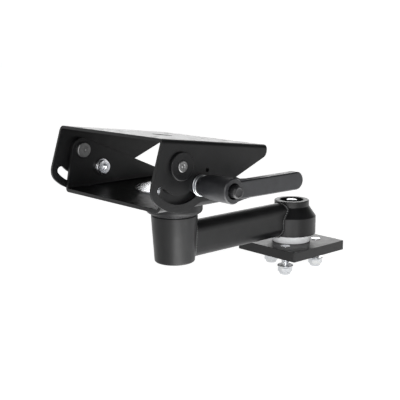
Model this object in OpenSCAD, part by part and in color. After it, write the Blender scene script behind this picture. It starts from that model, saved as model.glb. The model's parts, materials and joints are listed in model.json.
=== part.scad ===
// Articulating swing-arm equipment mount: base plate and pivot spindle,
// swing arm, swivelling clevis, tilting equipment plate and clamping lever.
// Millimetres. Origin: pivot axis at the underside of the base plate.
// +X runs from the swivel head towards the base pivot, +Z is up,
// and the clamping lever is on the -Y side.

/* [Base] */
// Side of the square base plate
plate_w = 76.2; // [70:0.1:90]
// Thickness of the base plate
plate_t = 9.5; // [8:0.1:12]
// Bolt circle diameter of the three studs
stud_pcd = 53.8; // [52:0.1:56]
// Diameter of the studs
stud_d = 7.9; // [7.5:0.1:8]
// Drop from the plate underside to the flange nuts
nut_drop = 9.5; // [4:0.1:14]
// Outside diameter of the nylon thrust washer
nylon_d = 39.2; // [36:0.1:41]
// Thickness of the nylon thrust washer
nylon_t = 8; // [5:0.1:10]

/* [Arm] */
// Distance from the base pivot to the swivel axis
arm_l = 156.3; // [150:0.1:220]
// Outside diameter of the pivot hub
hub_d = 49.3; // [48:0.1:54]
// Outside diameter of the rim on top of the hub
hub_rim_d = 35.1; // [34:0.1:38]
// Height of the pivot hub
hub_h = 34.5; // [34:0.1:38]
// Width of the flat-sided arm tube
arm_w = 20; // [16:0.5:24]
// Height of the flat-sided arm tube
arm_h = 33.8; // [30:0.1:36]
// Wall of the arm tube
arm_wall = 3; // [2:0.5:4]
// Socket tube diameter at its top
socket_d_top = 41.8; // [41:0.1:44]
// Socket tube diameter at its bottom
socket_d_bot = 36.4; // [36:0.1:42]
// Socket tube height
socket_h = 42.7; // [40:0.1:46]

/* [Swivel head] */
// Diameter of the drum under the lower clevis
drum_d = 50.6; // [48:0.1:56]
// Height of the drum
drum_h = 18.6; // [16:0.1:24]
// Outside width of the lower clevis
low_w = 131; // [126:1:134]
// Sheet thickness of the lower clevis
low_t = 3; // [2.5:0.5:4]
// How far the pivot sits ahead of the swivel axis
piv_fwd = 52.5; // [50:0.1:56]
// Height of the pivot above the underside of the lower clevis
piv_up = 35.8; // [34:0.1:38]
// Diameter of the zinc disc on the clevis floor
disc_d = 69; // [60:1:70]

/* [Tilt head] */
// Outside width of the upper clevis
up_w = 140.8; // [138:0.1:144]
// Sheet thickness of the upper clevis
up_t = 2.5; // [2:0.25:2.5]
// Length of the equipment plate
plate_l = 114.3; // [110:0.1:122]
// Rear-down tilt of the equipment plate at rest
tilt = 7.1; // [0:0.1:14]
// Height of the equipment plate over the pivot
up_h = 20.1; // [19:0.1:22]
// Radius of the clamp slot about the pivot
slot_r = 26.1; // [26:0.1:28]
// Width of the clamp slot
slot_w = 7.3; // [7.2:0.1:8.6]
// Direction of the clamp axis from the pivot
clamp_a = -40.7; // [-44:0.1:-40]

/* [Clamping lever] */
// Length of the lever hub
lev_hub_l = 31; // [28:0.1:36]
// Reach of the handle from the clamp axis
lev_reach = 80.6; // [75:1:90]
// Diameter of the release button
button_d = 9.6; // [8:0.1:10]

/* [Hidden] */
$fn = 96;

gap = 0.05;                       // running gap between faces that turn
z_hub = plate_t + nylon_t + gap;  // underside of the hub
z_rec = z_hub + 27.6;            // floor of the recess in the hub
z_rim = z_hub + hub_h;            // top of the hub rim
z_soc = z_hub - 1.05;             // underside of the socket tube
z_soct = z_soc + socket_h;        // top of the socket tube
z_arm = z_hub - 0.6;              // underside of the arm tube
bush_f = 1.8;                     // flange of the upper post bushing
z_drum = z_soct + bush_f + gap;   // underside of the drum
z_low = z_drum + drum_h;          // underside of the lower clevis
z_flr = z_low + low_t;            // top of the clevis floor
px = -arm_l - piv_fwd;            // pivot axis
pz = z_low + piv_up;
cx = px + slot_r*cos(clamp_a);    // clamp axis
cz = pz + slot_r*sin(clamp_a);
low_i = low_w/2 - low_t;          // inner face of the lower clevis
low_o = low_w/2;                  // outer face of the lower clevis
up_i = up_w/2 - up_t;             // inner face of the upper clevis
up_o = up_w/2;                    // outer face of the upper clevis
sp_t = up_i - low_o - gap;        // spacers between the flanges
pin_r = 4.5;                      // pivot pins
clamp_r = 3.2;                    // clamp stud and bolt
boss_t = 2.5;                     // pivot bosses
disc_t = 1.6;                     // zinc disc on the clevis floor
wash_t = 3.5;                     // zinc washer under the lever

// solid of revolution about a Y line: starts at y0, runs to y1
module ycyl(x, z, y0, y1, r, r2) {
    translate([x, y0, z]) rotate([-90, 0, 0])
        cylinder(h = y1 - y0, r1 = r, r2 = is_undef(r2) ? r : r2);
}
// rounded rectangle made of squares and circles
module rrect(x0, y0, x1, y1, r) {
    translate([x0 + r, y0]) square([x1 - x0 - 2*r, y1 - y0]);
    translate([x0, y0 + r]) square([x1 - x0, y1 - y0 - 2*r]);
    for (x = [x0 + r, x1 - r], y = [y0 + r, y1 - r]) translate([x, y]) circle(r);
}
// side outline in X and Z, extruded along Y from y0 to y1
module side(y0, y1) { translate([0, y1, 0]) rotate([90, 0, 0]) linear_extrude(y1 - y0) children(); }
// cross-section in Y and Z, extruded along X from x0 to x1
module along_x(x0, x1) { translate([x0, 0, 0]) rotate([90, 0, 90]) linear_extrude(x1 - x0) children(); }
module hexagon(af, h) { cylinder(h = h, r = af/2/cos(30), $fn = 6); }
function arc(cx, cy, r, a0, a1, n) = [for (i = [0:n]) let (a = a0 + (a1 - a0)*i/n) [cx + r*cos(a), cy + r*sin(a)]];
function stud_xy(i) = [stud_pcd/2*cos(90 + 120*i), stud_pcd/2*sin(90 + 120*i)];

// ---------- base ----------
module base_plate() { color([0.10, 0.10, 0.11]) difference() {
    w = plate_w/2;
    linear_extrude(plate_t) rrect(-w, -w, w, w, 1.4);
    for (i = [0:2]) translate(stud_xy(i)) {
        translate([0, 0, -1]) cylinder(h = plate_t + 2, r = stud_d/2);
        translate([0, 0, plate_t - 1.4]) cylinder(h = 2, r = 4.75);
    }
    translate([0, 0, -1]) cylinder(h = plate_t + 2, r = 10);
    translate([0, 0, -1]) cylinder(h = 4, r = 13);
} }
module base_studs() { color([0.82, 0.83, 0.85]) for (i = [0:2]) translate(stud_xy(i)) {
    translate([0, 0, -nut_drop - 9.4]) cylinder(h = nut_drop + 9.4 + plate_t - 1.4, r = stud_d/2);
    translate([0, 0, plate_t - 1.4]) cylinder(h = 1.8, r = 4.75);
} }
module flange_nut() { difference() {
    union() {
        translate([0, 0, -1.3]) cylinder(h = 1.3, r = 8.2);
        translate([0, 0, -2.6]) cylinder(h = 1.3, r1 = 6.9, r2 = 8.2);
        translate([0, 0, -7]) hexagon(12.6, 4.6);
        translate([0, 0, -9.7]) cylinder(h = 2.7, r1 = 4.9, r2 = 6.1);
    }
    translate([0, 0, -12]) cylinder(h = 14, r = stud_d/2);
} }
module flange_nuts() { color([0.84, 0.85, 0.87]) for (i = [0:2]) translate(stud_xy(i)) translate([0, 0, -nut_drop]) flange_nut(); }
module spindle() { color([0.72, 0.73, 0.75]) difference() {
    union() {
        cylinder(h = z_rec + 0.3, r = 10);
        cylinder(h = 3, r = 13);
    }
    translate([0, 0, z_rec - 22]) cylinder(h = 30, r = 3);
} }
module nylon_washer() { color([0.93, 0.93, 0.92]) translate([0, 0, plate_t]) difference() {
    rotate_extrude() polygon([[0, 0], [nylon_d/2 - 0.4, 0], [nylon_d/2, 0.4], [nylon_d/2, nylon_t - 0.4], [nylon_d/2 - 0.4, nylon_t], [0, nylon_t]]);
    translate([0, 0, -1]) cylinder(h = nylon_t + 2, r = 10);
} }
module cap_washer() { color([0.16, 0.16, 0.17]) translate([0, 0, z_rec + 0.3]) difference() {
    cylinder(h = 2, r = 11.3);
    translate([0, 0, -1]) cylinder(h = 4, r = 3);
} }
module cap_bolt() { color([0.84, 0.85, 0.87]) translate([0, 0, z_rec + 2.3]) {
    hexagon(10, 4.5);
    translate([0, 0, -20]) cylinder(h = 20, r = 3);
} }

// ---------- arm ----------
module hub_outline() {
    r = hub_d/2; rr = hub_rim_d/2;
    polygon(concat([[0, z_hub]], arc(r - 0.8, z_hub + 0.8, 0.8, -90, 0, 6),
        arc(r - 1, z_hub + 17.9, 1, 0, 42, 5),
        [[rr, z_hub + 28.5]], arc(rr - 0.8, z_rim - 0.8, 0.8, 0, 90, 6), [[0, z_rim]]));
}
module hub() { color([0.11, 0.11, 0.12]) difference() {
    rotate_extrude() hub_outline();
    translate([0, 0, z_hub - 1]) cylinder(h = 60, r = 11.5);
    translate([0, 0, z_rec]) cylinder(h = 20, r = 12);
    translate([0, 0, z_rim - 0.6]) cylinder(h = 0.7, r1 = 12, r2 = 12.7);
} }
module bush(z0, h, ro, ri) { translate([0, 0, z0]) difference() { cylinder(h = h, r = ro); translate([0, 0, -1]) cylinder(h = h + 2, r = ri); } }
module hub_bush_lower() { color([0.62, 0.50, 0.30]) bush(z_hub, 12, 11.5, 10.05); }
module hub_bush_upper() { color([0.62, 0.50, 0.30]) bush(z_rec - 12, 12, 11.5, 10.05); }
module arm_section(d) { // flat-sided oval, shrunk by d all round
    r = arm_w/2 - d; zc = z_arm + arm_h/2; k = arm_h/2 - arm_w/2;
    for (s = [-1, 1]) translate([0, zc + s*k]) circle(r);
    translate([-r, zc - k]) square([2*r, 2*k]);
}
module socket_outline() {
    rb = socket_d_bot/2; rt = socket_d_top/2;
    polygon(concat([[0, z_soc]], arc(rb - 2, z_soc + 2, 2, -90, -4, 6), arc(rt - 0.6, z_soct - 0.6, 0.6, -4, 90, 6), [[0, z_soct]]));
}
module arm_tube() { color([0.11, 0.11, 0.12]) difference() {
    along_x(-arm_l, 0) arm_section(0);
    along_x(-arm_l - 1, 1) arm_section(arm_wall);
    rotate_extrude() hub_outline();
    translate([-arm_l, 0, 0]) rotate_extrude() socket_outline();
    // clears the space above the rim and below the socket
    translate([0, 0, z_rim - 1]) cylinder(h = 20, r = hub_rim_d/2 + 0.01);
    // the tube's lower wall ends at the hub, clear of the thrust washer and the spindle
    translate([0, 0, z_hub - 3]) cylinder(h = 3.05, r = hub_d/2 - 0.05);
} }
module socket_tube() { color([0.11, 0.11, 0.12]) translate([-arm_l, 0, 0]) difference() {
    rotate_extrude() socket_outline();
    translate([0, 0, z_soc - 1]) cylinder(h = socket_h + 2, r = 15);
    translate([0, 0, z_soc - 1]) cylinder(h = 9.6, r = 16);
} }
module post_bush_lower() { color([0.20, 0.20, 0.21]) translate([-arm_l, 0, 0]) bush(z_soc + 8.6, 12, 15, 12.05); }
module post_bush_upper() { color([0.20, 0.20, 0.21]) translate([-arm_l, 0, 0]) {
    bush(z_soct - 14, 14, 15, 12.05);
    bush(z_soct, bush_f, socket_d_top/2 - 1, 12.05);
} }

// ---------- swivel head ----------
module swivel_drum() { color([0.12, 0.12, 0.13]) translate([-arm_l, 0, 0]) difference() {
    r = drum_d/2; f = 3.6;
    rotate_extrude() polygon(concat([[0, z_drum]], arc(r - f, z_drum + f, f, -90, 0, 12), [[r, z_low], [0, z_low]]));
    translate([0, 0, z_drum - 1]) cylinder(h = drum_h + 2, r = 9);
} }
module swivel_post() { color([0.72, 0.73, 0.75]) translate([-arm_l, 0, 0]) difference() {
    union() {
        translate([0, 0, z_soc + 8.4]) cylinder(h = z_drum - z_soc - 8.4, r = 12);
        translate([0, 0, z_drum]) cylinder(h = z_flr + disc_t + 11 - z_drum, r = 9);
    }
    translate([0, 0, z_soc]) cylinder(h = 26, r = 4);
} }
module post_washer() { color([0.80, 0.81, 0.83]) translate([-arm_l, 0, z_soc + 6.2]) difference() {
    cylinder(h = 2.2, r = 15); translate([0, 0, -1]) cylinder(h = 5, r = 4);
} }
module post_bolt() { color([0.80, 0.81, 0.83]) translate([-arm_l, 0, z_soc + 1]) {
    hexagon(13, 5.2); cylinder(h = 25, r = 4);
} }
module low_profile() {
    R = 10.9; a1 = 169.4; a2 = 66.4;   // directions of the front and rear tangent points
    x1 = -arm_l + 39;
    t1 = [px + R*cos(a1), pz + R*sin(a1)]; t2 = [px + R*cos(a2), pz + R*sin(a2)];
    zr = t2[1] + (x1 - t2[0])*tan(a2 - 90);
    polygon(concat([[t1[0] - (t1[1] - z_low)/tan(a1 - 90), z_low]], arc(px, pz, R, a1, a2, 12),
        arc(x1 - 3, zr - 1.7, 3, 66.4, 0, 4), [[x1, z_low]]));
}
module low_holes(s) {   // s = -1 lever side, +1 far side
    ycyl(px, pz, s > 0 ? low_i - 5 : -low_o - 5, s > 0 ? low_o + 5 : -low_i + 5, pin_r);
    ycyl(cx, cz, s > 0 ? low_i - 5 : -low_o - 5, s > 0 ? low_o + 5 : -low_i + 5, clamp_r);
}
module lower_clevis() { color([0.12, 0.12, 0.13]) difference() {
    intersection() {
        along_x(-arm_l - 80, -arm_l + 60) difference() {
            rrect(-low_o, z_low, low_o, z_low + 90, 4.5);
            rrect(-low_i, z_flr, low_i, z_low + 100, 1.5);
        }
        side(-low_o - 1, low_o + 1) low_profile();
    }
    for (s = [-1, 1]) low_holes(s);
    translate([-arm_l, 0, z_low - 1]) cylinder(h = low_t + 2, r = 9);
} }
module floor_disc() { color([0.80, 0.82, 0.84]) translate([-arm_l, 0, z_flr]) difference() {
    cylinder(h = disc_t, r = disc_d/2);
    translate([0, 0, -1]) cylinder(h = 4, r = 9);
} }
module swivel_nut() { color([0.80, 0.81, 0.83]) translate([-arm_l, 0, z_flr + disc_t]) difference() {
    union() { cylinder(h = 1.6, r = 15.5); translate([0, 0, 1.6]) hexagon(27, 8); }
    translate([0, 0, -1]) cylinder(h = 13, r = 9);
} }
module pivot_pins() { color([0.80, 0.80, 0.80]) {
    ycyl(px, pz, -low_i, -low_i + 2.6, 6.7);
    ycyl(px, pz, -up_o - boss_t - 0.6, -low_i, pin_r);
    ycyl(px, pz, low_i - 2.6, low_i, 6.7);
    ycyl(px, pz, low_i, up_o + boss_t + 0.6, pin_r);
} }
module pivot_spacers() { color([0.20, 0.20, 0.21]) for (s = [-1, 1]) difference() {
    ycyl(px, pz, s > 0 ? low_o : -low_o - sp_t, s > 0 ? low_o + sp_t : -low_o, 9.4);
    ycyl(px, pz, -up_o, up_o, pin_r);
} }
module clamp_stud() { color([0.80, 0.81, 0.83]) {
    ycyl(cx, cz, -up_o - 12, -low_i, clamp_r);
    ycyl(cx, cz, -low_i, -low_i + 3.2, 8.2, 5.2);
} }
module clamp_spacers() { color([0.20, 0.20, 0.21]) for (s = [-1, 1]) difference() {
    ycyl(cx, cz, s > 0 ? low_o : -low_o - sp_t, s > 0 ? low_o + sp_t : -low_o, 7.4);
    ycyl(cx, cz, -up_o, up_o, clamp_r);
} }
module lever_washer() { color([0.82, 0.83, 0.85]) difference() {
    ycyl(cx, cz, -up_o - gap - wash_t, -up_o - gap, 8.7);
    ycyl(cx, cz, -up_o - 5, -up_o + 5, clamp_r);
} }
module far_bolt() { color([0.82, 0.83, 0.85]) difference() {
    union() {
        ycyl(cx, cz, low_i - 4.4, low_i, 6.1);
        ycyl(cx, cz, low_i - 1.2, low_i, 7.4);
        ycyl(cx, cz, low_i, up_o + 10, clamp_r);
    }
    translate([cx, low_i - 6, cz]) rotate([-90, 0, 0]) cylinder(h = 4.4, r = 2.9, $fn = 6);
} }
module far_washer() { color([0.82, 0.83, 0.85]) difference() {
    ycyl(cx, cz, up_o + gap, up_o + gap + 1.6, 8.6);
    ycyl(cx, cz, up_o - 5, up_o + 5, clamp_r);
} }
module far_nut() { color([0.84, 0.85, 0.87]) difference() {
    translate([cx, up_o + gap + 1.6, cz]) rotate([-90, 0, 0]) { hexagon(12.6, 5.6); translate([0, 0, 5.6]) cylinder(h = 2.4, r1 = 6, r2 = 5); }
    ycyl(cx, cz, up_o - 5, up_o + 25, clamp_r);
} }

// ---------- tilt head, drawn level about its pivot ----------
up_f = -19.9;                     // front edge of the equipment plate, from the pivot
up_b = up_f + plate_l;            // rear edge
up_R = 36;                      // round underside of the flanges
// point on the slanted front edge at height w
function front_pt(w) = [up_f - 16.3*(up_h - w)/90, w];
function bez(a, b, c, n) = [for (i = [0:n]) let (t = i/n) (1 - t)*(1 - t)*a + 2*t*(1 - t)*b + t*t*c];
module up_profile() {
    a = -61.1; tr = 6; ac = 220;
    tc = [up_b - tr, up_R*sin(a) + (up_b - tr - up_R*cos(a))*tan(90 + a) + tr/cos(90 + a)];
    corner = up_R*[cos(ac), sin(ac)];
    polygon(concat([[up_f, up_h]],
        bez(front_pt(corner[1] + 7), corner, up_R*[cos(ac + 10), sin(ac + 10)], 5),
        arc(0, 0, up_R, ac + 12, 360 + a, 24),
        arc(tc[0], tc[1], tr, a, 0, 8),
        [[up_b, up_h]]));
}
module up_slot() { // round-ended arc slot about the pivot, cut through both flanges
    a0 = 228; a1 = 334.2; h = slot_w/2;
    side(-up_w, up_w) polygon(concat(
        arc(0, 0, slot_r + h, a0, a1, 30),
        arc(slot_r*cos(a1), slot_r*sin(a1), h, a1 + 15, a1 + 165, 10),
        arc(0, 0, slot_r - h, a1, a0, 30),
        arc(slot_r*cos(a0), slot_r*sin(a0), h, a0 + 195, a0 + 345, 10)));
}
mid_u = (up_f + up_b)/2;          // centre of the hole patterns
module upper_clevis() { color([0.12, 0.12, 0.13]) translate([px, 0, pz]) rotate([0, tilt, 0]) difference() {
    intersection() {
        along_x(up_f - 20, up_b + 5) difference() {
            rrect(-up_o, -70, up_o, up_h, 4);
            rrect(-up_i, -90, up_i, up_h - up_t, 1.5);
        }
        side(-up_o - 1, up_o + 1) up_profile();
    }
    up_slot();
    ycyl(0, 0, -up_w, up_w, pin_r + gap);
    ycyl(28.1, -2.4, -up_w, up_w, 1.8);
    for (s = [50, 75, 100], x = [-1, 1], y = [-1, 1]) translate([mid_u + x*s/2, y*s/2, 0]) cylinder(h = 40, r = s == 50 ? 2.2 : 2.7);
    translate([mid_u, 0, 0]) cylinder(h = 40, r = 9);
} }
module pivot_bosses() { color([0.12, 0.12, 0.13]) for (s = [-1, 1]) difference() {
    union() {
        ycyl(px, pz, s > 0 ? up_o : -up_o - boss_t + 0.5, s > 0 ? up_o + boss_t - 0.5 : -up_o, 11.3);
        if (s > 0) ycyl(px, pz, up_o + boss_t - 0.5, up_o + boss_t, 11.3, 10.8);
        else ycyl(px, pz, -up_o - boss_t, -up_o - boss_t + 0.5, 10.8, 11.3);
    }
    ycyl(px, pz, -up_o - 9, up_o + 9, pin_r + gap);
} }

// ---------- clamping lever ----------
ly = -up_o - gap - wash_t - gap;  // inner face of the threaded insert
lh = ly - 3.4;                    // inner end of the lever hub
le = lh - lev_hub_l;              // outer end of the lever hub
module lever_insert() { color([0.42, 0.42, 0.43]) difference() {
    union() { ycyl(cx, cz, ly - 15, ly, 6.2); ycyl(cx, cz, ly - 3.2, ly, 7); }
    ycyl(cx, cz, ly - 13.4, ly + 1, clamp_r + gap);
} }
// handle outline in X and Z from the clamp axis: straight sides, round tip
module handle_outline(d) {
    tip = 7.3; tx = lev_reach - tip;
    polygon(concat([[4, -7.2 + d]], arc(tx, -0.6, tip - d, -90.5, 90, 24), [[4, 6.7 - d]]));
}
module lever_handle() { color([0.10, 0.10, 0.105]) difference() {
    union() {
        ycyl(cx, cz, lh - 7, lh, 9.7, 8.5);
        ycyl(cx, cz, le + 0.8, lh - 7, 10, 9.7);
        ycyl(cx, cz, le, le + 0.8, 9.3, 10);
        translate([cx, 0, cz]) hull() {
            side(le + 2.1, le + 8.5) handle_outline(0);
            side(le + 1.2, le + 9.6) handle_outline(0.9);
        }
        // webs that blend the hub into the handle
        translate([cx, 0, cz]) side(le + 2.1, le + 8.5)
            polygon([[0, 0], [3, -9.5], [8, -8.7], [13, -7.9], [20, -7.3], [26, -7.2], [26, 6.5], [20, 6.8], [13, 7.4], [8, 8.4], [3, 9.5]]);
    }
    ycyl(cx, cz, ly - 16, ly + 1, 6.25);
    ycyl(cx, cz, le - 5, ly - 5, button_d/2 + gap);
    ycyl(cx, cz, le - 5, le + 8, 6.35);
} }
module lever_button() { color([0.08, 0.08, 0.085]) {
    ycyl(cx, cz, le - 4.9, le + 13, button_d/2);
    ycyl(cx, cz, le - 5.6, le - 4.9, button_d/2 - 0.8, button_d/2);
} }

base_plate();
base_studs();
flange_nuts();
spindle();
nylon_washer();
cap_washer();
cap_bolt();
hub();
hub_bush_lower();
hub_bush_upper();
arm_tube();
socket_tube();
post_bush_lower();
post_bush_upper();
swivel_drum();
swivel_post();
post_washer();
post_bolt();
lower_clevis();
floor_disc();
swivel_nut();
pivot_pins();
pivot_spacers();
clamp_stud();
clamp_spacers();
lever_washer();
far_bolt();
far_nut();
far_washer();
upper_clevis();
pivot_bosses();
lever_insert();
lever_handle();
lever_button();
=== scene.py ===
import bpy, bmesh, math, json
from mathutils import Vector, Matrix


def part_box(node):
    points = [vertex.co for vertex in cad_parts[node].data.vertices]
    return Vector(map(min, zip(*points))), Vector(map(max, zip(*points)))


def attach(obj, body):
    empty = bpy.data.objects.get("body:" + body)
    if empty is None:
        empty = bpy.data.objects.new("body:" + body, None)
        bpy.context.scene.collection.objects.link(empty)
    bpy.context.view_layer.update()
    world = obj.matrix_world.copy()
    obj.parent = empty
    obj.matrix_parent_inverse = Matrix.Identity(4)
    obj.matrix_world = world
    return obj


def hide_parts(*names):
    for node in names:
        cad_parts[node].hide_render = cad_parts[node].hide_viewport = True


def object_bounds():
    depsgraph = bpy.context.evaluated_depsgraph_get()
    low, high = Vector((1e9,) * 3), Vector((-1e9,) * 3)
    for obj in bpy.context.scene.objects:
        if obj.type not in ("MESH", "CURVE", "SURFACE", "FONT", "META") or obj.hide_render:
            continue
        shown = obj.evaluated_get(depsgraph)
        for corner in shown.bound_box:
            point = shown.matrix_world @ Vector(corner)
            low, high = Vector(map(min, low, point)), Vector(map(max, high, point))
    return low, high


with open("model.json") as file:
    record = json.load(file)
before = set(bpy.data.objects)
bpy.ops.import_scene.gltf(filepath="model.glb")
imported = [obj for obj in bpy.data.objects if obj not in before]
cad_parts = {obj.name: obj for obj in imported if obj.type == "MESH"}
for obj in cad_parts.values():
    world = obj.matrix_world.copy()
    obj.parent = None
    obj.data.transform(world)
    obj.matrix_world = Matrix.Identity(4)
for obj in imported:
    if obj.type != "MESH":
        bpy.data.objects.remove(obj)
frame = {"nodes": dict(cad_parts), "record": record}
cad_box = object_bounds()
N = frame["nodes"]
BODY = {n: b for b, ns in frame["record"]["behaviour"]["bodies"].items() for n in ns}
MM = 0.001

# ------------------------------------------------------------------ camera
scene = bpy.context.scene
cam_data = bpy.data.cameras.new("cam")
cam = bpy.data.objects.new("cam", cam_data)
scene.collection.objects.link(cam)
scene.camera = cam
R = Vector((0.741837, -0.670574, -0.00284)).normalized()
F = Vector((0.657588, 0.728288, -0.192807)).normalized()
U = R.cross(F).normalized()
cam.matrix_world = Matrix(((R.x, U.x, -F.x, -0.600154), (R.y, U.y, -F.y, -0.5255), (R.z, U.z, -F.z, 0.207067), (0, 0, 0, 1)))
cam_data.sensor_width = 36
cam_data.lens = 71.44049
cam_data.clip_start = 0.01
cam_data.dof.use_dof = False

# ------------------------------------------------------------------ materials
class Mat:
    """A Principled material with node helpers. Scales are in features per metre of the row frame."""
    def __init__(self, name, metal=0.0, coat=0.0, coat_rough=0.2, spec=0.5, ior=1.5):
        self.m = bpy.data.materials.new(name); self.m.use_nodes = True
        self.t = self.m.node_tree; self.b = self.t.nodes["Principled BSDF"]
        self.b.inputs["Metallic"].default_value = metal
        self.b.inputs["Coat Weight"].default_value = coat
        self.b.inputs["Coat Roughness"].default_value = coat_rough
        self.b.inputs["Specular IOR Level"].default_value = spec
        self.b.inputs["IOR"].default_value = ior
        self.co = self.t.nodes.new("ShaderNodeTexCoord")
    def mapped(self, scale):
        n = self.t.nodes.new("ShaderNodeMapping"); n.inputs["Scale"].default_value = scale
        self.t.links.new(self.co.outputs["Object"], n.inputs["Vector"]); return n.outputs["Vector"]
    def noise(self, scale, detail=3.0, rough=0.55, vec=None, dist=0.0):
        n = self.t.nodes.new("ShaderNodeTexNoise")
        n.inputs["Scale"].default_value = scale; n.inputs["Detail"].default_value = detail
        n.inputs["Roughness"].default_value = rough; n.inputs["Distortion"].default_value = dist
        self.t.links.new(vec or self.co.outputs["Object"], n.inputs["Vector"]); return n.outputs["Fac"]
    def voronoi(self, scale, feature="F1", out="Distance"):
        n = self.t.nodes.new("ShaderNodeTexVoronoi"); n.feature = feature
        n.inputs["Scale"].default_value = scale
        self.t.links.new(self.co.outputs["Object"], n.inputs["Vector"]); return n.outputs[out]
    def ramp(self, fac, stops):
        n = self.t.nodes.new("ShaderNodeValToRGB"); e = n.color_ramp.elements
        while len(e) < len(stops): e.new(0.5)
        for i, (p, c) in enumerate(stops):
            e[i].position = p; e[i].color = (*c, 1) if isinstance(c, tuple) else (c, c, c, 1)
        self.t.links.new(fac, n.inputs["Fac"]); return n.outputs["Color"]
    def remap(self, fac, a, b, lo=0.3, hi=0.7):
        n = self.t.nodes.new("ShaderNodeMapRange")
        for k, v in (("From Min", lo), ("From Max", hi), ("To Min", a), ("To Max", b)): n.inputs[k].default_value = v
        self.t.links.new(fac, n.inputs["Value"]); return n.outputs["Result"]
    def mul(self, a, b, op="MULTIPLY"):
        n = self.t.nodes.new("ShaderNodeMath"); n.operation = op
        self.t.links.new(a, n.inputs[0])
        if isinstance(b, (int, float)): n.inputs[1].default_value = b
        else: self.t.links.new(b, n.inputs[1])
        return n.outputs[0]
    def color(self, sock): self.t.links.new(sock, self.b.inputs["Base Color"])
    def rough(self, sock): self.t.links.new(sock, self.b.inputs["Roughness"])
    def bump(self, *layers):
        prev = None
        for h, strength, dist in layers:
            n = self.t.nodes.new("ShaderNodeBump")
            n.inputs["Strength"].default_value = strength; n.inputs["Distance"].default_value = dist
            self.t.links.new(h, n.inputs["Height"])
            if prev: self.t.links.new(prev, n.inputs["Normal"])
            prev = n.outputs["Normal"]
        self.t.links.new(prev, self.b.inputs["Normal"])

def powder_mat(name, tone=1.0, r0=0.31, r1=0.41, peel=0.10):
    # semi-gloss black powder coat: orange peel, fine grit, faint dust and handling marks
    M = Mat(name, spec=0.27)
    c = M.ramp(M.noise(60, 4), [(0.3, (0.0034*tone, 0.0035*tone, 0.0038*tone)), (0.7, (0.0060*tone, 0.0061*tone, 0.0064*tone))])
    dust = M.ramp(M.voronoi(900), [(0.0, 1.0), (0.055, 0.0)])
    mix = M.t.nodes.new("ShaderNodeMix"); mix.data_type = "RGBA"
    M.t.links.new(dust, mix.inputs["Factor"]); M.t.links.new(c, mix.inputs["A"]); mix.inputs["B"].default_value = (0.012*tone, 0.012*tone, 0.0125*tone, 1)
    M.color(mix.outputs["Result"])
    M.rough(M.remap(M.noise(110, 5, 0.6), r0, r1))
    M.bump((M.noise(1100, 2, 0.5), peel, 0.00035), (M.noise(5200, 2, 0.6), 0.10, 0.00012))
    return M.m
def zinc_mat(name, tone=(0.80, 0.81, 0.83), r0=0.16, r1=0.30, yellow=0.0):
    # bright zinc plating: fine directional brushing, cloudy passivation tone
    M = Mat(name, metal=1.0)
    t = tone
    M.color(M.ramp(M.noise(170, 4, 0.6), [(0.3, (t[0]*0.86, t[1]*0.87, t[2]*0.90)), (0.55, t), (0.75, (t[0]*1.05, t[1]*1.03, t[2]*(0.98 - yellow)))]))
    M.rough(M.remap(M.noise(900, 4, 0.65), r0, r1))
    M.bump((M.noise(1, 3, 0.6, vec=M.mapped((900, 900, 5200))), 0.07, 0.0001), (M.noise(2600, 2), 0.06, 0.0001))
    return M.m
def steel_mat(name, tone=(0.50, 0.50, 0.50), r0=0.30, r1=0.46):
    # turned steel: rings of tool marks and small dull patches
    M = Mat(name, metal=1.0)
    M.color(M.ramp(M.noise(420, 4, 0.6), [(0.3, tuple(x*0.75 for x in tone)), (0.7, tone)]))
    M.rough(M.remap(M.noise(1500, 3, 0.6), r0, r1))
    M.bump((M.noise(2200, 3, 0.6), 0.16, 0.00015))
    return M.m
def nylon_mat(name, a, b, r0=0.34, r1=0.48, sss=0.0):
    M = Mat(name, spec=0.5)
    M.color(M.ramp(M.noise(90, 3), [(0.3, a), (0.7, b)]))
    M.rough(M.remap(M.noise(500, 4), r0, r1))
    M.bump((M.noise(1, 3, 0.6, vec=M.mapped((260, 260, 3600))), 0.05, 0.0001), (M.noise(3000, 2), 0.05, 0.00008))
    if sss:
        M.b.inputs["Subsurface Weight"].default_value = sss
        M.b.inputs["Subsurface Radius"].default_value = (0.002, 0.002, 0.002)
        M.b.inputs["Subsurface Scale"].default_value = 0.6
    return M.m
def casting_mat(name):
    # painted zinc die casting of the lever: slightly greyer, finer and duller than the powder coat
    M = Mat(name, spec=0.45)
    M.color(M.ramp(M.noise(130, 4), [(0.3, (0.012, 0.0125, 0.014)), (0.7, (0.018, 0.0185, 0.021))]))
    M.rough(M.remap(M.noise(240, 5, 0.6), 0.34, 0.46))
    M.bump((M.noise(1900, 3, 0.6), 0.12, 0.0002), (M.noise(6000, 2), 0.08, 0.0001))
    return M.m
def bronze_mat(name):
    M = Mat(name, metal=1.0)
    M.color(M.ramp(M.noise(700, 4, 0.6), [(0.3, (0.40, 0.27, 0.13)), (0.7, (0.58, 0.42, 0.22))]))
    M.rough(M.remap(M.noise(1700, 3), 0.34, 0.5))
    M.bump((M.voronoi(2600), 0.12, 0.0001))
    return M.m

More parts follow.
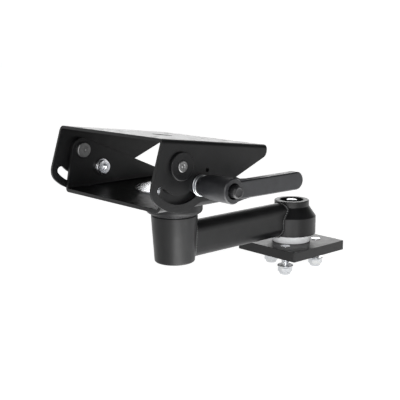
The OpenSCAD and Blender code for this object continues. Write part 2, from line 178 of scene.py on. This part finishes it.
powder = powder_mat("powder_coat")
powder_in = powder
zinc = zinc_mat("bright_zinc")
zinc_nut = zinc_mat("bright_zinc_nut", tone=(0.56, 0.57, 0.58), r0=0.14, r1=0.26)
steel = steel_mat("turned_steel")
rivet = steel_mat("rivet_steel", tone=(0.26, 0.26, 0.26), r0=0.34, r1=0.50)
nylon = nylon_mat("white_nylon", (0.80, 0.81, 0.82), (0.88, 0.89, 0.90), sss=0.15)
nylon_blk = nylon_mat("black_nylon", (0.008, 0.008, 0.009), (0.014, 0.014, 0.015))
bronze = bronze_mat("bronze")
black_steel = steel_mat("black_oxide", tone=(0.045, 0.045, 0.047), r0=0.30, r1=0.44)
lever_m = casting_mat("lever_casting")
button_m = nylon_mat("button_plastic", (0.006, 0.006, 0.007), (0.010, 0.010, 0.011), r0=0.30, r1=0.42)
SLOT_MAT = {"black_powder_coat": powder, "zinc_plated_steel": zinc, "machined_steel": steel, "white_nylon": nylon, "black_nylon": nylon_blk,
            "bronze": bronze, "black_steel": black_steel, "lever_black": lever_m, "button_black": button_m}
NODE_SLOT = {s["node"]: s["material_slot"] for s in frame["record"]["subparts"]}
for n, o in N.items():
    for s in o.material_slots: s.material = SLOT_MAT[NODE_SLOT[n]]

# ------------------------------------------------------------------ mesh helpers
def finish_mesh(name, bm, body, mat, angle=32, replaces=()):
    bmesh.ops.recalc_face_normals(bm, faces=bm.faces)
    me = bpy.data.meshes.new(name); bm.to_mesh(me); bm.free()
    me.shade_smooth(); me.set_sharp_from_angle(angle=math.radians(angle))
    me.materials.append(mat)
    o = bpy.data.objects.new(name, me); scene.collection.objects.link(o)
    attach(o, body)
    if replaces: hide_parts(*replaces)
    return o

def refined(node, width=0.35, angle=28, segs=2, mat=None):
    """Detailed stand-in for a CAD node: the same faces, merged flat, with every sharp edge broken by a small round."""
    bm = bmesh.new(); bm.from_mesh(N[node].data)
    bmesh.ops.remove_doubles(bm, verts=bm.verts, dist=2e-6)
    bmesh.ops.dissolve_limit(bm, angle_limit=math.radians(0.6), verts=bm.verts, edges=bm.edges, delimit={"NORMAL"})
    bm.normal_update()
    sharp = [e for e in bm.edges if len(e.link_faces) == 2 and e.calc_face_angle(0) > math.radians(angle)]
    if width > 0:
        bmesh.ops.bevel(bm, geom=sharp, offset=width*MM, offset_type="OFFSET", segments=segs, profile=0.5, affect="EDGES",
                        clamp_overlap=True, miter_outer="SHARP", miter_inner="SHARP", harden_normals=False)
    bmesh.ops.triangulate(bm, faces=[f for f in bm.faces if len(f.verts) > 4])
    o = finish_mesh("d_" + node, bm, BODY[node], mat or SLOT_MAT[NODE_SLOT[node]], 24, (node,))
    w = o.modifiers.new("wn", "WEIGHTED_NORMAL"); w.keep_sharp = True; w.weight = 80
    return o

def frame_of(origin, axis):
    z = Vector(axis).normalized()
    x = Vector((1, 0, 0)) if abs(z.x) < 0.9 else Vector((0, 1, 0))
    x = (x - z*x.dot(z)).normalized(); y = z.cross(x)
    o = Vector(origin)
    return lambda a, b, c: o + x*(a*MM) + y*(b*MM) + z*(c*MM)

def grid(bm, rings, close_u=True, cap0=True, cap1=True):
    """rings: lists of points of equal length, joined by quads, closed around and capped."""
    vs = [[bm.verts.new(p) for p in r] for r in rings]
    n = len(rings[0])
    for a, b in zip(vs, vs[1:]):
        for i in range(n if close_u else n - 1):
            j = (i + 1) % n
            bm.faces.new((a[i], a[j], b[j], b[i]))
    if cap0: bm.faces.new(list(reversed(vs[0])))
    if cap1: bm.faces.new(vs[-1])
    return vs

def soften(profile, r=0.3, n=3):
    """Rounds the corners of an (r, z) polyline, in mm."""
    out = [profile[0]]
    for a, b, c in zip(profile, profile[1:], profile[2:]):
        A, B, C = Vector(a), Vector(b), Vector(c)
        u, v = A - B, C - B
        d = min(r, u.length*0.45, v.length*0.45)
        if d < 0.02 or u.length < 1e-6 or v.length < 1e-6 or abs(u.normalized().dot(v.normalized())) > 0.985:
            out.append(b); continue
        p, q = B + u.normalized()*d, B + v.normalized()*d
        for i in range(n + 1):
            t = i/n; out.append(tuple(p*(1 - t)**2 + B*(2*t*(1 - t)) + q*t*t))
    out.append(profile[-1]); return out

def lathe(bm, origin, axis, profile, seg=96, r=0.3, wave=None):
    """Turns an (r, z) outline about an axis; ends on the axis or open ends are capped."""
    P = frame_of(origin, axis); prof = soften(profile, r)
    rings = []
    for k, (rr, zz) in enumerate(prof):
        ring = []
        for i in range(seg):
            th = 2*math.pi*i/seg
            q = rr if wave is None else wave(rr, zz, th)
            ring.append(P(max(q, 0.001)*math.cos(th), max(q, 0.001)*math.sin(th), zz))
        rings.append(ring)
    grid(bm, rings)

def hex_r(af, th, rc=0.0):
    a = (math.degrees(th) + 30) % 60 - 30
    return af/2/math.cos(math.radians(a))

def hexbody(bm, origin, axis, af, z0, z1, seg=96, cham0=0.0, cham1=1.0, bore=None, turn=0.0):
    """Hexagon with the round chamfer that a turned nut or bolt head has; af and z in mm."""
    P = frame_of(origin, axis); rc = af/2*0.955
    def ring(floor_glow_falloff, fz):
        o = []
        for i in range(seg):
            th = 2*math.pi*i/seg; h = hex_r(af, th); rr = floor_glow_falloff(h)
            o.append(P(rr*math.cos(th + turn), rr*math.sin(th + turn), fz(h)))
        return o
    s = 1 if z1 > z0 else -1
    rings = []
    if bore: rings.append(ring(lambda h: bore, lambda h: z0))
    rings.append(ring(lambda h: rc, lambda h: z0))
    rings.append(ring(lambda h: h, lambda h: z0 + s*cham0*(h - rc)*0.5))
    for t in (0.33, 0.66): rings.append(ring(lambda h: h, lambda h: z0 + (z1 - z0)*t))
    rings.append(ring(lambda h: h, lambda h: z1 - s*cham1*(h - rc)*0.55))
    rings.append(ring(lambda h: h*0.992 - 0.05, lambda h: z1 - s*cham1*(h - rc)*0.5 + s*0.02))
    rings.append(ring(lambda h: rc, lambda h: z1))
    if bore: rings.append(ring(lambda h: bore + 0.5, lambda h: z1)); rings.append(ring(lambda h: bore, lambda h: z1 - s*0.5))
    grid(bm, rings)

def thread(bm, origin, axis, r, pitch, z0, z1, seg=40, steps=6, depth=0.55):
    """A rod with a real helical thread."""
    P = frame_of(origin, axis); n = max(8, int((z1 - z0)/pitch*steps)); rings = []
    for k in range(n + 1):
        z = z0 + (z1 - z0)*k/n; ring = []
        fade = min(1.0, (z - z0)/1.0, (z1 - z)/0.8)
        for i in range(seg):
            th = 2*math.pi*i/seg
            ph = (z/pitch - th/(2*math.pi)) % 1.0
            d = depth*pitch*abs(2*ph - 1)
            d = max(0.0, min(1.0, d/(depth*pitch)*1.25 - 0.12))*depth*pitch
            end = 0.5*(1 - max(0.0, min(1.0, (z - z0)/0.9)))
            rr = r - d*max(0.35, fade) - end
            ring.append(P(rr*math.cos(th), rr*math.sin(th), z))
        rings.append(ring)
    grid(bm, rings)

# ------------------------------------------------------------------ positions from the CAD boxes, in mm
def bx(n): a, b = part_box(n); return [v*1000 for v in a], [v*1000 for v in b]
bp0, bp1 = bx("base_plate"); z_plate = bp1[2]
hb0, hb1 = bx("hub"); z_hub, z_rim = hb0[2], hb1[2]; R_hub = hb1[0]
ar0, ar1 = bx("arm_tube"); z_a0, z_a1 = ar0[2], ar1[2]; arm_w = ar1[1] - ar0[1]
st0, st1 = bx("socket_tube"); sx = (st0[0] + st1[0])/2; z_s0, z_s1 = st0[2], st1[2]; r_s1 = (st1[0] - st0[0])/2
pp0, pp1 = bx("pivot_pins"); px, pz = (pp0[0] + pp1[0])/2, (pp0[2] + pp1[2])/2
lw0, lw1 = bx("lever_washer"); cx, cz = (lw0[0] + lw1[0])/2, (lw0[2] + lw1[2])/2
ns0, ns1 = bx("flange_nuts"); cb0, cb1 = bx("cap_bolt")
lb0, lb1 = bx("lever_button"); lh0, lh1 = bx("lever_handle"); li0, li1 = bx("lever_insert")
sn0, sn1 = bx("swivel_nut"); bs0, bs1 = bx("base_studs"); fb0, fb1 = bx("far_bolt"); fn0, fn1 = bx("far_nut")
ny0, ny1 = bx("nylon_washer"); up0, up1 = bx("upper_clevis")
STUDS = [(26.9*math.cos(math.radians(90 + 120*i)), 26.9*math.sin(math.radians(90 + 120*i))) for i in range(3)]

# ------------------------------------------------------------------ sheet, plate and casting parts
refined("base_plate", 0.7, segs=3)
refined("hub", 0.55, segs=3)
refined("socket_tube", 0.3)
refined("swivel_drum", 0.3)
refined("arm_tube", 0.25)
refined("lower_clevis", 0.4)
refined("upper_clevis", 0.4)
refined("pivot_bosses", 0.35)
refined("post_bush_upper", 0.25)
refined("lever_handle", 0.5, segs=3)
refined("floor_disc", 0.3)
refined("cap_washer", 0.25)
refined("far_bolt", 0.3)
refined("far_washer", 0.25)
refined("clamp_spacers", 0.15)
refined("pivot_spacers", 0.15)
refined("clamp_stud", 0.2)
refined("post_washer", 0.25)

# nylon thrust washer: turned, with two faint turned lines on its rim
bm = bmesh.new(); rn = ny1[0]
z0, z1 = ny0[2], ny1[2]
lathe(bm, (0, 0, 0), (0, 0, 1), [(10.0, z0), (rn - 0.5, z0), (rn, z0 + 0.5), (rn, z0 + 2.6), (rn - 0.08, z0 + 2.7), (rn, z0 + 2.8), (rn, z1 - 2.2),
      (rn - 0.08, z1 - 2.1), (rn, z1 - 2.0), (rn, z1 - 0.5), (rn - 0.5, z1), (10.0, z1), (10.0, z0)], 128, 0.25)
finish_mesh("thrust_washer", bm, "base", nylon, 30, ("nylon_washer",))

# ------------------------------------------------------------------ studs and flange lock nuts
bm = bmesh.new()
for x, y in STUDS:
    o = (x*MM, y*MM, 0)
    thread(bm, o, (0, 0, 1), 3.93, 1.4, bs0[2] + 0.02, 0.6)
    lathe(bm, o, (0, 0, 1), [(0, 0.4), (3.6, 0.4), (3.93, 0.8), (3.93, z_plate - 1.4), (4.75, z_plate - 1.4), (4.75, bs1[2] - 0.25), (4.45, bs1[2]), (3.2, bs1[2]), (3.0, bs1[2] - 0.12), (0, bs1[2] - 0.12)], 64, 0.12)
finish_mesh("studs", bm, "base", zinc, 40, ("base_studs",))
bm = bmesh.new(); top = -9.5
for x, y in STUDS:
    o = (x*MM, y*MM, 0)
    lathe(bm, o, (0, 0, 1), [(4.3, top), (7.7, top), (8.15, top - 0.35), (8.15, top - 0.95), (7.8, top - 1.25), (6.5, top - 2.55), (5.8, top - 3.0), (4.0, top - 3.0), (4.0, top - 0.3), (4.3, top)], 72, 0.2)
    hexbody(bm, o, (0, 0, -1), 12.55, 9.5 + 2.2, 9.5 + 6.95, 96, 0.0, 1.0, turn=0.26)
    lathe(bm, o, (0, 0, 1), [(4.0, top - 6.8), (6.0, top - 6.8), (5.95, top - 7.3), (5.55, top - 8.9), (5.0, top - 9.6), (4.3, top - 9.6), (4.0, top - 9.2), (4.0, top - 6.8)], 72, 0.25)
finish_mesh("lock_nuts", bm, "base", zinc_nut, 40, ("flange_nuts",))

# ------------------------------------------------------------------ bolt in the hub recess
bm = bmesh.new(); o = (0, 0, 0); zb = cb1[2] - 4.5
hexbody(bm, o, (0, 0, 1), 10.0, zb + 0.4, cb1[2], 96, 0.0, 1.1, turn=0.35)
lathe(bm, o, (0, 0, 1), [(0, zb), (4.75, zb), (4.75, zb + 0.5), (0, zb + 0.5)], 64, 0.1)
lathe(bm, o, (0, 0, 1), [(0, cb1[2] - 0.35), (2.9, cb1[2] - 0.35), (3.3, cb1[2] - 0.02), (3.9, cb1[2] - 0.02), (3.9, cb1[2] - 0.5), (0, cb1[2] - 0.5)], 64, 0.1)
lathe(bm, o, (0, 0, 1), [(0, cb0[2]), (2.5, cb0[2]), (3.0, cb0[2] + 0.6), (3.0, zb + 0.1), (0, zb + 0.1)], 48, 0.1)
finish_mesh("hub_bolt", bm, "base", zinc_nut, 40, ("cap_bolt",))

# ------------------------------------------------------------------ pivot pins: orbital-riveted outer ends, flat inner heads
bm = bmesh.new()
for s in (-1, 1):
    o = (px*MM, 0, pz*MM); a = (0, s, 0); e = pp1[1]; i0 = min(v for v in (60.0, 59.9)) 
    lathe(bm, o, a, [(0, i0 + 0.35), (1.1, i0 + 0.35), (1.5, i0 + 0.06), (6.2, i0 + 0.0), (6.68, i0 + 0.45), (6.68, 62.48), (4.5, 62.48),
          (4.5, e - 0.55), (4.1, e - 0.12), (3.2, e - 0.02), (1.75, e - 0.1), (1.55, e - 0.34), (1.25, e - 0.34), (1.0, e - 0.12), (0, e - 0.06)], 72, 0.14)
finish_mesh("rivet_pins", bm, "head", rivet, 40, ("pivot_pins",))

# ------------------------------------------------------------------ clamp hardware
bm = bmesh.new(); o = (cx*MM, 0, cz*MM); y0, y1 = lw0[1], lw1[1]
lathe(bm, o, (0, -1, 0), [(3.2, -y1), (8.2, -y1), (8.7, -y1 + 0.5), (8.7, -y1 + 1.0), (8.35, -y1 + 1.25), (8.35, -y0 - 1.35), (8.7, -y0 - 1.1), (8.7, -y0 - 0.45), (8.3, -y0),
      (7.0, -y0), (6.8, -y0 - 0.12), (3.2, -y0 - 0.12), (3.2, -y1)], 96, 0.14)
# the clamp collar gets a darker, rougher zinc than the other zinc parts
finish_mesh("clamp_collar", bm, "head", zinc_mat("dull_dark_zinc", tone=(0.40, 0.41, 0.42), r0=0.26, r1=0.46), 40, ("lever_washer",))
bm = bmesh.new(); y0, y1 = li0[1], li1[1]
def serr(r, z, th): return r + (0.16*math.cos(th*36) if r > 6.5 else 0.0)
cs0, cs1 = bx("clamp_stud"); bore_end = min(-cs0[1] + 0.5, -y0 - 0.4)
lathe(bm, o, (0, -1, 0), [(0, bore_end), (3.35, bore_end), (3.35, -y1 + 0.3), (3.7, -y1), (6.5, -y1), (6.8, -y1 + 0.3), (6.8, -y1 + 2.7), (6.2, -y1 + 3.1), (6.2, -y0 - 0.4), (5.8, -y0), (0, -y0)], 216, 0.1, wave=serr)
finish_mesh("lever_core_insert", bm, "lever_core", black_steel, 40, ("lever_insert",))
bm = bmesh.new(); y0, y1 = lb0[1], lb1[1]; rb = (lb1[0] - lb0[0])/2
lathe(bm, o, (0, -1, 0), [(0, -y1), (rb, -y1), (rb, -y0 - 1.6), (rb - 0.35, -y0 - 1.3), (rb - 0.35, -y0 - 1.0), (rb - 0.05, -y0 - 0.75), (rb - 0.15, -y0 - 0.4), (rb - 0.7, -y0 - 0.05), (rb - 1.5, -y0), (rb - 1.8, -y0 - 0.25), (1.0, -y0 - 0.35), (0, -y0 - 0.35)], 96, 0.2)
finish_mesh("release_button", bm, "button", button_m, 40, ("lever_button",))
bm = bmesh.new(); y0, y1 = fn0[1], fn1[1]
hexbody(bm, o, (0, 1, 0), 12.55, y0, y0 + 5.55, 96, 1.0, 1.0, turn=0.2)
lathe(bm, o, (0, 1, 0), [(3.3, y0 + 5.4), (6.0, y0 + 5.4), (5.8, y0 + 6.2), (5.2, y1 - 0.3), (4.7, y1), (4.0, y1), (3.6, y1 - 0.4), (3.3, y1 - 0.4), (3.3, y0 + 5.4)], 72, 0.2)
finish_mesh("clamp_nut", bm, "head", zinc_nut, 40, ("far_nut",))

# ------------------------------------------------------------------ nut and washer on the swivel post
bm = bmesh.new(); o = (sx*MM, 0, 0); z0, z1 = sn0[2], sn1[2]
lathe(bm, o, (0, 0, 1), [(9.0, z0), (15.2, z0), (15.5, z0 + 0.3), (15.5, z0 + 1.25), (15.2, z0 + 1.6), (9.0, z0 + 1.6), (9.0, z0)], 96, 0.12)
hexbody(bm, o, (0, 0, 1), 26.9, z0 + 1.6, z1, 96, 0.6, 1.0, bore=9.0, turn=0.15)
finish_mesh("post_nut", bm, "head", zinc, 40, ("swivel_nut",))

# ------------------------------------------------------------------ weld beads where the arm meets the hub and the socket
def hub_r(z):
    zc, zt = z_hub + 17.9, z_hub + 28.5
    if z <= zc: return R_hub
    if z >= zt: return 17.55
    return R_hub + (17.55 - R_hub)*(z - zc)/(zt - zc)
def soc_r(z): return 18.2 + (r_s1 - 18.2)*(z - z_s0)/(z_s1 - z_s0)
def oval(n):
    r = arm_w/2; zc = (z_a0 + z_a1)/2; k = (z_a1 - z_a0)/2 - r
    pts = []
    per = 2*math.pi*r + 4*k
    for i in range(n):
        d = per*i/n
        # walk: right side up, top arc, left side down, bottom arc
        if d < 2*k: pts.append((r, zc - k + d, 1.0, 0.0)); continue
        d -= 2*k
        if d < math.pi*r: a = d/r; pts.append((r*math.cos(a), zc + k + r*math.sin(a), math.cos(a), math.sin(a))); continue
        d -= math.pi*r
        if d < 2*k: pts.append((-r, zc + k - d, -1.0, 0.0)); continue
        d -= 2*k
        a = math.pi + d/r; pts.append((r*math.cos(a), zc - k + r*math.sin(a), math.cos(a), math.sin(a)))
    return pts
# painted highlight: the weld beads get a lighter copy of the powder coat (tone 2.2) that stands in for the bright
# highlights on the welds; the lower roughness, stronger peel bump and higher specular level are surface settings
weld_coat_painted_highlight = powder_mat("powder_coat_weld", tone=2.2, r0=0.20, r1=0.30, peel=0.16)
weld_coat_painted_highlight.node_tree.nodes["Principled BSDF"].inputs["Specular IOR Level"].default_value = 0.6
def bead(name, xc, rad, side, n=300, w=1.9, ripples=58):
    bm = bmesh.new(); rings = []
    pts = []
    for y, z, ny, nz in oval(n):
        zz = min(max(z, z_a0 + 0.9), z_a1 - 0.5)
        rr = rad(zz)
        x = xc + side*math.sqrt(max(rr*rr - y*y, 1.0))
        pts.append((Vector((x, y, z)), Vector((side, 0, 0)), Vector((0, ny, nz))))
    for i, (p, a, b) in enumerate(pts):
        ph = 2*math.pi*ripples*i/n
        q = w*(1 + 0.15*math.sin(ph) + 0.05*math.sin(2.7*i/n*2*math.pi + 1))
        ring = []
        for k in range(12):
            t = 2*math.pi*k/12
            lean = 0.22*math.sin(ph + t)
            v = p + a*(q*0.95*math.cos(t) + 0.2) + b*(q*0.62*math.sin(t) + 0.1) + Vector((0, 0, lean*0.25))
            v.z = min(max(v.z, z_a0 - 0.35), z_rim - 0.15)
            ring.append(v*MM)
        rings.append(ring)
    vs = grid(bm, rings, True, False, False)
    a, b = vs[-1], vs[0]
    for k in range(12):
        bm.faces.new((a[k], a[(k + 1) % 12], b[(k + 1) % 12], b[k]))
    return finish_mesh(name, bm, "arm", weld_coat_painted_highlight, 60)
bead("weld_hub", 0.0, hub_r, -1)
bead("weld_socket", sx, soc_r, 1, w=1.5)

# ------------------------------------------------------------------ floor and light
bm = bmesh.new()
bmesh.ops.create_grid(bm, x_segments=8, y_segments=8, size=9)
me = bpy.data.meshes.new("floor"); bm.to_mesh(me); bm.free()
floor = bpy.data.objects.new("floor", me); scene.collection.objects.link(floor)
floor.location = (0, 0, cad_box[0][2] - 0.0005)
FM = Mat("floor_mat", spec=0.0)
FM.color(FM.ramp(FM.noise(3, 2), [(0.3, (0.54, 0.54, 0.54)), (0.7, (0.56, 0.56, 0.56))]))
FM.b.inputs["Roughness"].default_value = 0.9
FM.b.inputs["Emission Color"].default_value = (1, 1, 1, 1)
# painted light: the floor is not lit this way but glows by emission, brightest close in front of the object and fading
# away on the lever side
fs = FM.t.nodes.new("ShaderNodeSeparateXYZ"); FM.t.links.new(FM.co.outputs["Object"], fs.inputs["Vector"])
floor_glow_falloff = FM.ramp(FM.mul(fs.outputs["Y"], -1.0), [(0.0, 0.44), (0.08, 0.74), (0.24, 0.68), (0.38, 0.38), (0.65, 0.24)])
def axis_term(ax, ay, cx_, cy_, half):
    n = FM.t.nodes.new("ShaderNodeVectorMath"); n.operation = "DOT_PRODUCT"; n.inputs[1].default_value = (ax/half, ay/half, 0)
    m = FM.t.nodes.new("ShaderNodeVectorMath"); m.operation = "SUBTRACT"; m.inputs[1].default_value = (cx_, cy_, 0)
    FM.t.links.new(FM.co.outputs["Object"], m.inputs[0]); FM.t.links.new(m.outputs["Vector"], n.inputs[0])
    return FM.mul(n.outputs["Value"], n.outputs["Value"])
# painted light: two glowing ellipses on the floor in front of the object, whose reflections give the highlights on the
# socket tube and the hub
el = FM.mul(axis_term(-0.60, -0.80, -0.235, -0.155, 0.18), axis_term(0.80, -0.60, -0.235, -0.155, 0.062), "ADD")
painted_glow_spots = FM.remap(el, 5.5, 0.0, 0.25, 1.3)
el2 = FM.mul(axis_term(-0.454, -0.891, -0.115, -0.225, 0.14), axis_term(0.891, -0.454, -0.115, -0.225, 0.055), "ADD")
painted_glow_spots = FM.mul(painted_glow_spots, FM.remap(el2, 3.2, 0.0, 0.25, 1.3), "ADD")
FM.t.links.new(FM.mul(FM.mul(floor_glow_falloff, 2.0), painted_glow_spots, "ADD"), FM.b.inputs["Emission Strength"])
me.materials.append(FM.m)

# studio surround: white around the horizon, dim ceiling, brighter behind the object
w = bpy.data.worlds.new("w"); scene.world = w; w.use_nodes = True
wt = w.node_tree; bg = wt.nodes["Background"]
tc = wt.nodes.new("ShaderNodeTexCoord"); nrm = wt.nodes.new("ShaderNodeVectorMath"); nrm.operation = "NORMALIZE"
wt.links.new(tc.outputs["Generated"], nrm.inputs[0])
sep = wt.nodes.new("ShaderNodeSeparateXYZ"); wt.links.new(nrm.outputs["Vector"], sep.inputs["Vector"])
er = wt.nodes.new("ShaderNodeValToRGB"); e = er.color_ramp.elements
stops = [(0.0, 1.0), (0.26, 1.0), (0.42, 0.30), (0.62, 0.10), (1.0, 0.12)]
while len(e) < len(stops): e.new(0.5)
for k, (pp, v) in enumerate(stops): e[k].position = pp; e[k].color = (v, v, v, 1)
wt.links.new(sep.outputs["Z"], er.inputs["Fac"])
dot = wt.nodes.new("ShaderNodeVectorMath"); dot.operation = "DOT_PRODUCT"; dot.inputs[1].default_value = (0.645, 0.715, 0.27)
wt.links.new(nrm.outputs["Vector"], dot.inputs[0])
mr = wt.nodes.new("ShaderNodeMapRange")
for k, v in (("From Min", 0.72), ("From Max", 0.98), ("To Min", 0.0), ("To Max", 2.1)): mr.inputs[k].default_value = v
wt.links.new(dot.outputs["Value"], mr.inputs["Value"])
side = wt.nodes.new("ShaderNodeVectorMath"); side.operation = "DOT_PRODUCT"; side.inputs[1].default_value = (-0.67, 0.74, 0.0)
wt.links.new(nrm.outputs["Vector"], side.inputs[0])
sr = wt.nodes.new("ShaderNodeMapRange")
for k, v in (("From Min", -1.0), ("From Max", 1.0), ("To Min", 0.40), ("To Max", 1.05)): sr.inputs[k].default_value = v
wt.links.new(side.outputs["Value"], sr.inputs["Value"])
ad = wt.nodes.new("ShaderNodeMath"); ad.operation = "ADD"
wt.links.new(mr.outputs["Result"], ad.inputs[0]); wt.links.new(sr.outputs["Result"], ad.inputs[1])
mm = wt.nodes.new("ShaderNodeMath"); mm.operation = "MULTIPLY"
wt.links.new(er.outputs["Color"], mm.inputs[0]); wt.links.new(ad.outputs[0], mm.inputs[1])
bg.inputs[0].default_value = (1, 1, 1, 1)
wt.links.new(mm.outputs[0], bg.inputs[1])
def area(name, loc, target, sx_, sy_, power):
    l = bpy.data.lights.new(name, "AREA"); l.shape = "RECTANGLE"; l.size = sx_; l.size_y = sy_; l.energy = power
    o = bpy.data.objects.new(name, l); scene.collection.objects.link(o)
    o.location = loc
    o.rotation_euler = (Vector(target) - Vector(loc)).to_track_quat("-Z", "Y").to_euler()
    return o
area("strip", (-0.86, -1.04, 0.45), (-0.10, 0, 0.05), 0.5, 0.8, 8.5)
area("low_right", (0.55, -0.75, 0.14), (0.0, 0.0, 0.03), 0.45, 0.26, 0.35)
scene.view_settings.view_transform = "Standard"
